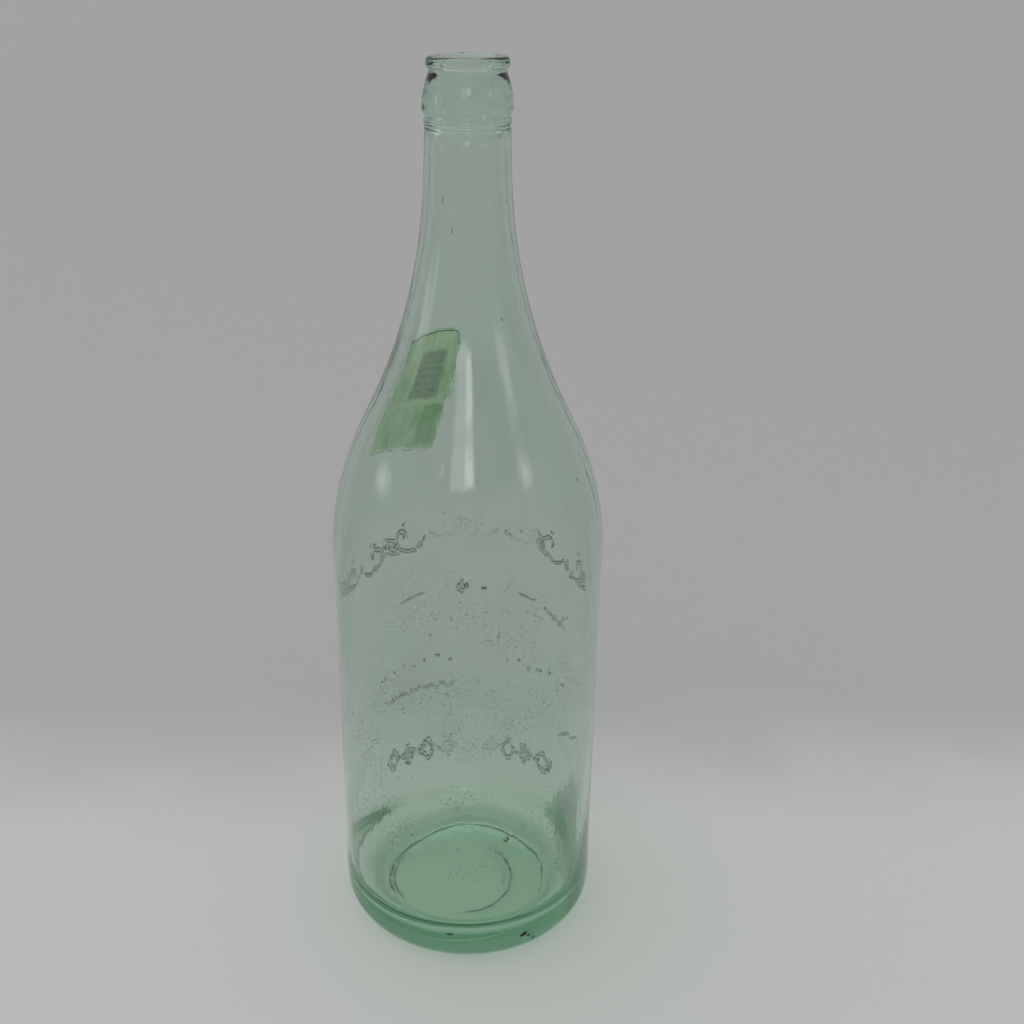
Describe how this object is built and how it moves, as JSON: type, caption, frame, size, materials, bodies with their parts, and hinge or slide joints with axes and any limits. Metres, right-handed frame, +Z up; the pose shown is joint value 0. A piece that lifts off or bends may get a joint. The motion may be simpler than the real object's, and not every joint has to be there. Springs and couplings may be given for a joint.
{
  "type": "glass soda bottle",
  "caption": "Tall clear green glass bottle with a long sloping shoulder, slim neck, crown finish for a crimped cap, raised front ornament and a worn paper shoulder label.",
  "frame": {"origin": "centre of the base, on the plane of the bearing ring that the bottle stands on", "axes": "+Z up along the bottle's axis to the mouth, +Y out of the decorated front, +X to the left of someone who faces the front"},
  "size_m": [0.0932, 0.0932, 0.305],
  "materials": {
    "green_glass": "clear pale aqua green, glossy",
    "dried_gum": "thin yellowed film",
    "label_paper": "worn uncoated green print"
  },
  "bodies": {
    "root": {"bottle_glass": "green_glass", "label_gum": "dried_gum", "shoulder_label": "label_paper"}
  },
  "joints": []
}
